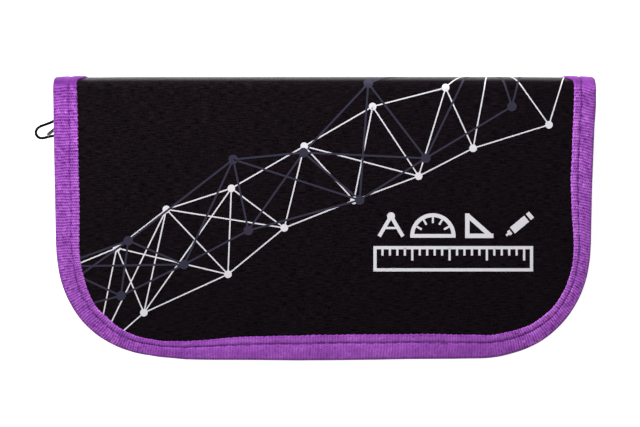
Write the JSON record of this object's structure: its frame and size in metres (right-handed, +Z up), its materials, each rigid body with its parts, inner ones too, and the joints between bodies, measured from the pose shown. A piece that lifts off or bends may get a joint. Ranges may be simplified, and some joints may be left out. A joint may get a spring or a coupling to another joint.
{
  "type": "zip-around drafting instrument case",
  "caption": "Flat zip-around cloth case, bound with ribbed tape, holding a compass, pencil, leads, ruler, eraser, sharpener and set square.",
  "frame": {"origin": "bottom centre of the closed case, without the pull tab and its cord, on the surface that it lies on", "axes": "+X along the spine towards the end without the slider, +Y from the long zipped edge to the spine, +Z up through the front cover"},
  "size_m": [0.2298, 0.117, 0.025],
  "materials": {
    "outer_cloth": "plain-weave polyester, matt",
    "board": "grey-brown board, hidden",
    "lining": "plain-weave lining, matt",
    "binding_tape": "ribbed tape with a slight sheen",
    "zip_cloth": "woven zip tape",
    "zip_teeth": "nylon coil",
    "zip_metal": "nickel-plated, slightly brushed",
    "cord": "braided cord",
    "elastic": "ribbed elastic",
    "clear_film": "clear soft film",
    "plated_metal": "bright plated",
    "steel": "bare steel",
    "brass": "turned brass",
    "graphite": "graphite",
    "pencil_paint": "gloss lacquer on wood",
    "clear_plastic": "clear polystyrene",
    "cap_plastic": "moulded",
    "eraser_rubber": "soft white vinyl",
    "card_sleeve": "printed card",
    "sharpener_metal": "milled light alloy"
  },
  "bodies": {
    "back": {"back_cloth": "outer_cloth", "back_board": "board", "back_lining": "lining", "back_binding": "binding_tape", "back_fold": "outer_cloth", "back_fold_binding": "binding_tape", "zip_tape_back": "zip_cloth", "zip_teeth_back": "zip_teeth", "zip_stops_back": "zip_metal", "elastic_left": "elastic", "elastic_right": "elastic"},
    "spine": {"spine_cloth": "outer_cloth", "spine_board": "board", "spine_lining": "lining", "spine_binding": "binding_tape", "front_fold": "outer_cloth", "front_fold_binding": "binding_tape"},
    "front": {"front_cloth": "outer_cloth", "front_board": "board", "front_lining": "lining", "front_binding": "binding_tape", "zip_tape_front": "zip_cloth", "zip_teeth_front": "zip_teeth", "zip_stops_front": "zip_metal", "clear_pocket": "clear_film", "pocket_gusset": "lining", "pocket_hem": "binding_tape"},
    "slider": {"zip_slider": "zip_metal"},
    "tab": {"zip_tab": "zip_metal", "zip_cord": "cord"},
    "compass": {"compass_grip": "plated_metal", "compass_yoke": "plated_metal", "compass_pins": "steel", "needle_leg": "plated_metal", "lead_leg": "plated_metal", "needle_socket": "plated_metal", "lead_socket": "plated_metal", "needle_screw": "brass", "lead_screw": "brass", "compass_needle": "steel", "compass_lead": "graphite"},
    "pencil": {"pencil_barrel": "pencil_paint", "pencil_lead": "graphite"},
    "lead_tube": {"tube_body": "clear_plastic", "tube_cap": "cap_plastic", "spare_leads": "graphite"},
    "ruler": {"ruler": "clear_plastic"},
    "eraser": {"eraser": "eraser_rubber", "eraser_sleeve": "card_sleeve"},
    "sharpener": {"sharpener_body": "sharpener_metal", "sharpener_blade": "steel", "sharpener_screw": "brass"},
    "set_square": {"set_square": "clear_plastic"}
  },
  "joints": [
    {"name": "spine_fold", "type": "hinge", "parent": "back", "child": "spine", "pos_m": [0, 0.05672, 0.00178], "axis": [-1, 0, 0], "range_deg": [0, 90], "deforming": ["back_fold", "back_fold_binding"]},
    {"name": "cover_fold", "type": "hinge", "parent": "spine", "child": "front", "pos_m": [0, 0.05672, 0.02322], "axis": [-1, 0, 0], "range_deg": [0, 90], "deforming": ["front_fold", "front_fold_binding"]},
    {"name": "zip_travel", "type": "slide", "parent": "back", "child": "slider", "axis": [0.0175, -0.9998, 0], "range_m": [0, 0.048]},
    {"name": "tab_swing", "type": "hinge", "parent": "slider", "child": "tab", "pos_m": [-0.10437, 0.04192, 0.0125], "axis": [0, 0, 1], "range_deg": [-85, 30]},
    {"name": "compass_slide", "type": "slide", "parent": "back", "child": "compass", "axis": [1, 0, 0], "range_m": [0, 0.028]},
    {"name": "pencil_slide", "type": "slide", "parent": "back", "child": "pencil", "axis": [1, 0, 0], "range_m": [0, 0.02]},
    {"name": "lead_tube_slide", "type": "slide", "parent": "back", "child": "lead_tube", "axis": [1, 0, 0], "range_m": [0, 0.045]},
    {"name": "ruler_slide", "type": "slide", "parent": "back", "child": "ruler", "axis": [1, 0, 0], "range_m": [0, 0.012]},
    {"name": "eraser_slide", "type": "slide", "parent": "back", "child": "eraser", "axis": [1, 0, 0], "range_m": [0, 0.032]},
    {"name": "sharpener_slide", "type": "slide", "parent": "back", "child": "sharpener", "axis": [-1, 0, 0], "range_m": [0, 0.024]},
    {"name": "set_square_slide", "type": "slide", "parent": "front", "child": "set_square", "axis": [0, 1, 0], "range_m": [0, 0.013]}
  ]
}
